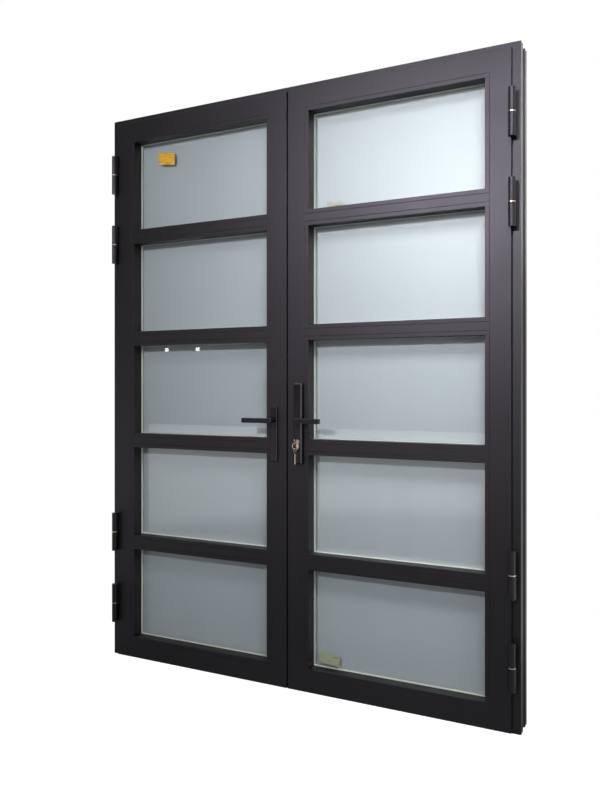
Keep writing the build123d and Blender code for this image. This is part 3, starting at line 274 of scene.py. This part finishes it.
clear, clear_tree, clear_shader = new_material("clear_glass", CLEAR_TINT, 0.0)
clear_shader.inputs["Transmission Weight"].default_value = 1.0
clear_shader.inputs["IOR"].default_value = 1.5
clear_shader.inputs["Coat Weight"].default_value = HAZE_WEIGHT
clear_shader.inputs["Coat Roughness"].default_value = HAZE_ROUGHNESS
clear_shader.inputs["Coat IOR"].default_value = HAZE_INDEX
clear_output = clear_tree.nodes["Material Output"]
clear_rays = clear_tree.nodes.new("ShaderNodeLightPath")
clear_through = clear_tree.nodes.new("ShaderNodeBsdfTransparent")
clear_through.inputs["Color"].default_value = CLEAR_TINT
clear_pass = clear_tree.nodes.new("ShaderNodeMath")
clear_pass.operation = "MAXIMUM"
clear_mix = clear_tree.nodes.new("ShaderNodeMixShader")
clear_tree.links.new(clear_rays.outputs["Is Shadow Ray"], clear_pass.inputs[0])
clear_tree.links.new(clear_rays.outputs["Is Diffuse Ray"], clear_pass.inputs[1])
clear_tree.links.new(clear_pass.outputs["Value"], clear_mix.inputs["Fac"])
clear_tree.links.new(clear_shader.outputs["BSDF"], clear_mix.inputs[1])
clear_tree.links.new(clear_through.outputs["BSDF"], clear_mix.inputs[2])
clear_tree.links.new(clear_mix.outputs["Shader"], clear_output.inputs["Surface"])
dress(("left_clear_panes", "right_clear_panes"), clear)


# Spacers
# Bright aluminium spacer frames that hold the two sheets of each unit apart, with a dark
# line where they stick to the etched sheet: butyl, widened into painted shade along the sheet's
# edge.

SPACER_COLOUR = (0.93, 0.91, 0.81, 1.0)
SPACER_ROUGHNESS = 0.42
SPACER_METAL = 0.10
SPACER_EDGE = 0.0065
# Dark butyl, widened into painted shade at the etched sheet's edge.
BUTYL_AND_SHADE_COLOUR = (0.010, 0.012, 0.022, 1.0)
BUTYL_ROUGHNESS = 0.55
BUTYL_DEPTH = 0.0030
BUTYL_CLEARANCE = 0.0001
BUTYL_AND_SHADE_WIDTH = 0.0040
BUTYL_SILL = 0.0010
PANE_ROWS = 5
PANE_HEIGHT = 0.3578

spacer_metal = speckled("spacer_aluminium", SPACER_COLOUR, SPACER_ROUGHNESS, 500.0, 0.10)
set_metal(spacer_metal, SPACER_METAL)
dress(("left_spacers", "right_spacers"), spacer_metal)

butyl_and_painted_shade, _, _ = new_material("butyl_and_painted_shade", BUTYL_AND_SHADE_COLOUR, BUTYL_ROUGHNESS)


def rectangle_loop(mesh, low_x, high_x, low_z, high_z, depth):
    """Four corners of a level-sided rectangle across the doors."""
    corners = ((low_x, low_z), (high_x, low_z), (high_x, high_z), (low_x, high_z))
    return [mesh.verts.new((x, depth, z)) for x, z in corners]


def pane_sight(side, row):
    """Inner edge of the spacer frame of one pane."""
    low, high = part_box(f"{side}_spacers")
    pane_low, pane_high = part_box(f"{side}_frosted_panes")
    pitch = (pane_high.z - pane_low.z - PANE_HEIGHT) / (PANE_ROWS - 1)
    bottom = low.z + SPACER_EDGE + row * pitch
    height = high.z - low.z - (PANE_ROWS - 1) * pitch - 2 * SPACER_EDGE
    return low.x + SPACER_EDGE, high.x - SPACER_EDGE, bottom, bottom + height


def make_piece(name, mesh, material):
    """An object in the scene from a finished bmesh, with its material."""
    data = bpy.data.meshes.new(name)
    mesh.to_mesh(data)
    mesh.free()
    data.materials.append(material)
    piece = bpy.data.objects.new(name, data)
    bpy.context.scene.collection.objects.link(piece)
    return piece


# Each ring is dark butyl widened into painted shade on the etched sheet, wider at the sides than
# at top and bottom.
for side in ("left", "right"):
    mesh = bmesh.new()
    _, cavity_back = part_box(f"{side}_spacers")
    for row in range(PANE_ROWS):
        x0, x1, z0, z1 = pane_sight(side, row)
        front = cavity_back.y - BUTYL_DEPTH
        outer = rectangle_loop(mesh, x0, x1, z0, z1, front)
        face = mesh.faces.new(outer)
        bmesh.ops.inset_individual(
            mesh, faces=[face], thickness=BUTYL_AND_SHADE_WIDTH, use_even_offset=True
        )
        middle = (z0 + z1) / 2
        for corner in face.verts:
            corner.co.z += math.copysign(BUTYL_AND_SHADE_WIDTH - BUTYL_SILL, corner.co.z - middle)
        bmesh.ops.delete(mesh, geom=[face], context="FACES_ONLY")
    ring_faces = list(mesh.faces)
    grown = bmesh.ops.extrude_face_region(mesh, geom=ring_faces, use_keep_orig=True)
    moved = [item for item in grown["geom"] if isinstance(item, bmesh.types.BMVert)]
    bmesh.ops.translate(mesh, verts=moved, vec=(0, BUTYL_DEPTH - BUTYL_CLEARANCE, 0))
    bmesh.ops.recalc_face_normals(mesh, faces=mesh.faces)
    piece = make_piece(f"{side}_butyl", mesh, butyl_and_painted_shade)
    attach(piece, f"{side}_leaf")


# Gaskets and seals
# Extruded black rubber: wedge gaskets on both faces of every unit, seals behind the
# leaves' flanges and on the frame's stop. Rubber is matte, with a faint bloom.

RUBBER_COLOUR = (0.008, 0.008, 0.009, 1.0)
RUBBER_ROUGHNESS = 0.72
RUBBER_GRAIN = 260.0

rubber = speckled("black_rubber", RUBBER_COLOUR, RUBBER_ROUGHNESS, RUBBER_GRAIN, 0.10)
dress(("left_gaskets", "right_gaskets", "left_seals", "right_seals", "frame_seal"), rubber)


# Meeting lip
# A soft rubber fin on the right leaf's meeting seal. It closes the slit between the two
# firm seals, and the real one bends as a leaf passes.

LIP_X = (-0.00785, -0.0058)
LIP_Y = (-0.0266, -0.0250)
LIP_Z = (0.0230, 2.0620)

lip = bmesh.new()
bmesh.ops.create_cube(lip, size=1.0)
lip_size = [end - start for start, end in (LIP_X, LIP_Y, LIP_Z)]
lip_middle = [(start + end) / 2 for start, end in (LIP_X, LIP_Y, LIP_Z)]
bmesh.ops.scale(lip, verts=lip.verts, vec=lip_size)
bmesh.ops.translate(lip, verts=lip.verts, vec=lip_middle)
meeting_lip = make_piece("meeting_lip", lip, rubber)
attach(meeting_lip, "right_leaf")


# Hinges
# Eight surface hinges with powder-coated aluminium barrels, steel pins and a bright
# brass washer between the frame's knuckle and the leaf's.

HARDWARE_COLOUR = (0.0050, 0.0047, 0.0045, 1.0)
HARDWARE_PALE = (0.0085, 0.0080, 0.0080, 1.0)
BRASS_COLOUR = (0.83, 0.70, 0.45, 1.0)
STEEL_COLOUR = (0.50, 0.50, 0.51, 1.0)
HARDWARE_ROUGHNESS = 0.38
BRASS_ROUGHNESS = 0.28
STEEL_ROUGHNESS = 0.36

hardware = powder_coated(
    "hardware_coat", HARDWARE_COLOUR, HARDWARE_PALE, HARDWARE_ROUGHNESS, COAT_SHINE
)
dress(("frame_hinge_knuckles", "left_hinge_knuckles", "right_hinge_knuckles"), hardware)

brass = speckled("bright_brass", BRASS_COLOUR, BRASS_ROUGHNESS, 700.0, 0.08)
set_metal(brass)
dress(("hinge_washers",), brass)

steel = speckled("zinc_steel", STEEL_COLOUR, STEEL_ROUGHNESS, 420.0, 0.10)
set_metal(steel)
dress(("hinge_pins",), steel)


# Bolts and their drives
# Zinc-plated steel shoot bolts inside the meeting edges, the keeps that they enter, and
# the closed cases that drive them.

STEEL_PIECES = (
    "bolt_keeps",
    "left_top_bolt",
    "left_bottom_bolt",
    "right_top_bolt",
    "right_bottom_bolt",
    "left_gearbox",
    "right_lock_case",
    "strike_plate",
    "dead_bolt",
)

dress(STEEL_PIECES, steel)


# Handles
# Lever handles on long plates, in the same satin dark coat as the hinges but a little
# smoother where hands have rubbed them. Their countersunk screws are blackened steel.

BLACKENED_COLOUR = (0.045, 0.044, 0.046, 1.0)
BLACKENED_ROUGHNESS = 0.40
HANDLE_ROUGHNESS = 0.17
HANDLE_SHINE = 0.5
HANDLE_PIECES = (
    "left_handle_plate",
    "left_lever",
    "right_handle_plates",
    "right_lever",
    "right_outer_lever",
)

handle_coat = powder_coated(
    "handle_coat", HARDWARE_COLOUR, HARDWARE_PALE, HANDLE_ROUGHNESS, HANDLE_SHINE
)
dress(HANDLE_PIECES, handle_coat)

blackened = speckled("blackened_steel", BLACKENED_COLOUR, BLACKENED_ROUGHNESS, 600.0, 0.10)
set_metal(blackened)
dress(("left_handle_screws", "right_handle_screws"), blackened)


# Lock cylinder and keys
# A nickel-plated profile cylinder with its plug, a key in the lock, and a spare key that
# hangs from a split ring.

NICKEL_COLOUR = (0.74, 0.62, 0.54, 1.0)
NICKEL_ROUGHNESS = 0.19

nickel = speckled("nickel_plate", NICKEL_COLOUR, NICKEL_ROUGHNESS, 500.0, 0.08)
set_metal(nickel)
dress(("lock_cylinder", "cylinder_plug", "keys", "key_ring"), nickel)


# Labels
# Small paper labels left on the room face of the glass: an amber one at the top left, a
# pale green one at the bottom right and a faded one above it. Their print is worn away.

LABEL_THICKNESS = 0.0003
LABEL_SUNK = 0.8
PAPER_ROUGHNESS = 0.7
WORN_START = 0.48
WORN_FULL = 0.70
LABEL_STREAKS = (28.0, 1.0, 210.0)
AMBER = (0.80, 0.44, 0.03, 1.0)
AMBER_SMUDGE = (0.42, 0.20, 0.02, 1.0)
PALE_GREEN = (0.36, 0.40, 0.26, 1.0)
GREEN_SMUDGE = (0.24, 0.27, 0.20, 1.0)
FADED = (0.42, 0.43, 0.34, 1.0)
FADED_SMUDGE = (0.30, 0.32, 0.27, 1.0)


def label_paper(name, colour, smudge):
    """Matte paper with worn, darker smudges."""
    material = speckled(name, colour, PAPER_ROUGHNESS, 350.0, 0.1)
    tree = material.node_tree
    spot = tree.nodes.new("ShaderNodeTexNoise")
    spot.inputs["Scale"].default_value = 1.0
    spot.inputs["Detail"].default_value = 2.0
    where = tree.nodes.new("ShaderNodeTexCoord")
    level = tree.nodes.new("ShaderNodeMapping")
    level.inputs["Scale"].default_value = LABEL_STREAKS
    worn = tree.nodes.new("ShaderNodeMapRange")
    worn.inputs["From Min"].default_value = WORN_START
    worn.inputs["From Max"].default_value = WORN_FULL
    tone = tree.nodes.new("ShaderNodeMix")
    tone.data_type = "RGBA"
    tone.inputs["A"].default_value = colour
    tone.inputs["B"].default_value = smudge
    tree.links.new(where.outputs["Object"], level.inputs["Vector"])
    tree.links.new(level.outputs["Vector"], spot.inputs["Vector"])
    tree.links.new(spot.outputs["Fac"], worn.inputs["Value"])
    tree.links.new(worn.outputs["Result"], tone.inputs["Factor"])
    tree.links.new(tone.outputs["Result"], tree.nodes["Principled BSDF"].inputs["Base Color"])
    return material


def label(name, body, low_x, high_x, low_z, high_z, drop, paper):
    """A thin paper label on the glass, whose right end hangs lower by the drop."""
    glass_low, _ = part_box(f"{body}_clear_panes")
    mesh = bmesh.new()
    corners = rectangle_loop(mesh, low_x, high_x, low_z, high_z, glass_low.y - LABEL_THICKNESS)
    for corner in corners[1:3]:
        corner.co.z -= drop
    face = mesh.faces.new(corners)
    grown = bmesh.ops.extrude_face_region(mesh, geom=[face])
    moved = [item for item in grown["geom"] if isinstance(item, bmesh.types.BMVert)]
    bmesh.ops.translate(mesh, verts=moved, vec=(0, LABEL_THICKNESS * LABEL_SUNK, 0))
    bmesh.ops.recalc_face_normals(mesh, faces=mesh.faces)
    piece = make_piece(name, mesh, paper)
    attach(piece, f"{body}_leaf")


amber_paper = label_paper("amber_paper", AMBER, AMBER_SMUDGE)
green_paper = label_paper("green_paper", PALE_GREEN, GREEN_SMUDGE)
faded_paper = label_paper("faded_paper", FADED, FADED_SMUDGE)
label("amber_label", "left", -0.595, -0.519, 1.915, 1.961, 0.010, amber_paper)
label("green_label", "right", 0.097, 0.173, 0.098, 0.133, 0.006, green_paper)
label("faded_label", "right", 0.127, 0.180, 1.676, 1.692, 0.0, faded_paper)


# Floor and backdrop
# A plain pale floor that catches the soft shadow of the frame.

FLOOR_SIZE = 30.0
FLOOR_COLOUR = (0.50, 0.50, 0.50, 1.0)
FLOOR_ROUGHNESS = 0.9
FLOOR_SHINE = 0.1
FLOOR_LIFT = 0.84
FADE_CENTRE = (0.0, -1.5, 0.0)
FADE_START = 1.9
FADE_END = 2.9

floor_mesh = bmesh.new()
bmesh.ops.create_grid(floor_mesh, x_segments=1, y_segments=1, size=FLOOR_SIZE / 2)
floor_data = bpy.data.meshes.new("floor")
floor_mesh.to_mesh(floor_data)
floor_mesh.free()
floor = bpy.data.objects.new("floor", floor_data)
bpy.context.scene.collection.objects.link(floor)

floor_material, floor_tree, floor_shader = new_material(
    "pale_floor", FLOOR_COLOUR, FLOOR_ROUGHNESS
)
floor_shader.inputs["Specular IOR Level"].default_value = FLOOR_SHINE
floor_output = floor_tree.nodes["Material Output"]
floor_place = floor_tree.nodes.new("ShaderNodeTexCoord")
floor_distance = floor_tree.nodes.new("ShaderNodeVectorMath")
floor_distance.operation = "DISTANCE"
floor_distance.inputs[1].default_value = FADE_CENTRE
floor_fade = floor_tree.nodes.new("ShaderNodeMapRange")
floor_fade.interpolation_type = "SMOOTHSTEP"
floor_fade.inputs["From Min"].default_value = FADE_START
floor_fade.inputs["From Max"].default_value = FADE_END
floor_rays = floor_tree.nodes.new("ShaderNodeLightPath")
floor_mirrored = floor_tree.nodes.new("ShaderNodeMath")
floor_mirrored.operation = "MAXIMUM"
floor_seen = floor_tree.nodes.new("ShaderNodeMath")
floor_seen.operation = "MAXIMUM"
floor_factor = floor_tree.nodes.new("ShaderNodeMath")
floor_factor.operation = "MULTIPLY"
floor_rise = floor_tree.nodes.new("ShaderNodeMath")
floor_rise.operation = "MULTIPLY"
floor_rise.inputs[1].default_value = FLOOR_LIFT
floor_lift = floor_tree.nodes.new("ShaderNodeEmission")
floor_lit = floor_tree.nodes.new("ShaderNodeAddShader")
floor_glow = floor_tree.nodes.new("ShaderNodeEmission")
floor_mix = floor_tree.nodes.new("ShaderNodeMixShader")
floor_tree.links.new(floor_place.outputs["Object"], floor_distance.inputs[0])
floor_tree.links.new(floor_distance.outputs["Value"], floor_fade.inputs["Value"])
floor_tree.links.new(floor_rays.outputs["Is Glossy Ray"], floor_mirrored.inputs[0])
floor_tree.links.new(floor_rays.outputs["Is Transmission Ray"], floor_mirrored.inputs[1])
floor_tree.links.new(floor_rays.outputs["Is Camera Ray"], floor_seen.inputs[0])
floor_tree.links.new(floor_mirrored.outputs["Value"], floor_seen.inputs[1])
floor_tree.links.new(floor_fade.outputs["Result"], floor_factor.inputs[0])
floor_tree.links.new(floor_seen.outputs["Value"], floor_factor.inputs[1])
floor_tree.links.new(floor_rays.outputs["Is Camera Ray"], floor_rise.inputs[0])
floor_tree.links.new(floor_rise.outputs["Value"], floor_lift.inputs["Strength"])
floor_tree.links.new(floor_shader.outputs["BSDF"], floor_lit.inputs[0])
floor_tree.links.new(floor_lift.outputs["Emission"], floor_lit.inputs[1])
floor_tree.links.new(floor_factor.outputs["Value"], floor_mix.inputs["Fac"])
floor_tree.links.new(floor_lit.outputs["Shader"], floor_mix.inputs[1])
floor_tree.links.new(floor_glow.outputs["Emission"], floor_mix.inputs[2])
floor_tree.links.new(floor_mix.outputs["Shader"], floor_output.inputs["Surface"])
floor_data.materials.append(floor_material)


# Light
# A soft surround that is white behind the doors and dim on the room side, a ceiling lamp
# whose glare lies on the right leaf, window lamps at the right and panels above and behind.

SURROUND = 0.23
ROOM_SIDE = 0.05
BACKDROP = 1.0
SIDE_DIM = -0.25
SIDE_BRIGHT = 0.30

world = bpy.data.worlds.new("studio")
bpy.context.scene.world = world
world.use_nodes = True
world_tree = world.node_tree
world_light = world_tree.nodes["Background"]
world_light.inputs["Color"].default_value = (1.0, 1.0, 1.0, 1.0)
world_rays = world_tree.nodes.new("ShaderNodeLightPath")
world_way = world_tree.nodes.new("ShaderNodeTexCoord")
world_parts = world_tree.nodes.new("ShaderNodeSeparateXYZ")
world_side = world_tree.nodes.new("ShaderNodeMapRange")
world_side.inputs["From Min"].default_value = SIDE_DIM
world_side.inputs["From Max"].default_value = SIDE_BRIGHT
world_side.inputs["To Min"].default_value = ROOM_SIDE
world_side.inputs["To Max"].default_value = BACKDROP
world_mirrored = world_tree.nodes.new("ShaderNodeMath")
world_mirrored.operation = "MAXIMUM"
world_around = world_tree.nodes.new("ShaderNodeMapRange")
world_around.inputs["To Min"].default_value = SURROUND
world_level = world_tree.nodes.new("ShaderNodeMapRange")
world_level.inputs["To Max"].default_value = BACKDROP
world_tree.links.new(world_way.outputs["Generated"], world_parts.inputs["Vector"])
world_tree.links.new(world_parts.outputs["Y"], world_side.inputs["Value"])
world_tree.links.new(world_rays.outputs["Is Glossy Ray"], world_mirrored.inputs[0])
world_tree.links.new(world_rays.outputs["Is Transmission Ray"], world_mirrored.inputs[1])
world_tree.links.new(world_mirrored.outputs["Value"], world_around.inputs["Value"])
world_tree.links.new(world_side.outputs["Result"], world_around.inputs["To Max"])
world_tree.links.new(world_rays.outputs["Is Camera Ray"], world_level.inputs["Value"])
world_tree.links.new(world_around.outputs["Result"], world_level.inputs["To Min"])
world_tree.links.new(world_level.outputs["Result"], world_light.inputs["Strength"])


def lamp(name, place, target, size, power, spread=180.0):
    """A white rectangular lamp aimed at a point, with a beam of so many degrees."""
    light = bpy.data.lights.new(name, "AREA")
    light.shape = "RECTANGLE"
    light.size, light.size_y = size
    light.energy = power
    light.spread = math.radians(spread)
    holder = bpy.data.objects.new(name, light)
    holder.location = place
    aim = Vector(target) - Vector(place)
    holder.rotation_euler = aim.to_track_quat("-Z", "Y").to_euler()
    holder.visible_camera = False
    bpy.context.scene.collection.objects.link(holder)


lamp("ceiling_lamp", (-0.398, -4.32, 2.750), (0.20, 0.0, 1.78), (0.09, 0.07), 15.5, 63.0)
lamp("window_lamp", (1.338, -1.50, 2.806), (0.72, 0.0, 1.37), (0.75, 0.75), 6.9, 57.4)
lamp("ceiling_panel", (-1.5, -0.4, 4.3), (-1.0, -0.3, 0.0), (1.9, 1.2), 20.0)
lamp("side_window", (4.5, -2.5, 1.5), (0.0, 0.0, 1.2), (1.0, 2.4), 24.0)
lamp("back_panel", (0.3, 4.2, 3.2), (0.0, 0.0, 1.0), (3.0, 2.4), 110.0)
lamp("far_lamp_left", (-3.26, -3.6, 1.41), (-0.56, 0.0, 1.2), (0.035, 0.035), 0.04)
lamp("far_lamp_right", (-2.90, -3.6, 1.41), (-0.42, 0.0, 1.2), (0.035, 0.035), 0.04)


# Camera
# Stands to the right of the doors at the height of a person's chest, looking level.

CAMERA_PLACE = (1.2395, -2.399, 1.0527)
CAMERA_TURN = 27.05
FOCAL_PIXELS = 762.04
IMAGE_HEIGHT = 800
HORIZON_ROW = 386.85
SENSOR = 36.0

camera_data = bpy.data.cameras.new("camera")
camera_data.sensor_width = SENSOR
camera_data.lens = FOCAL_PIXELS / IMAGE_HEIGHT * SENSOR
camera_data.shift_y = (HORIZON_ROW - IMAGE_HEIGHT / 2) / IMAGE_HEIGHT
camera = bpy.data.objects.new("camera", camera_data)
camera.location = CAMERA_PLACE
camera.rotation_euler = (math.radians(90.0), 0.0, math.radians(CAMERA_TURN))
bpy.context.scene.collection.objects.link(camera)
bpy.context.scene.camera = camera
bpy.context.scene.view_settings.view_transform = "Standard"
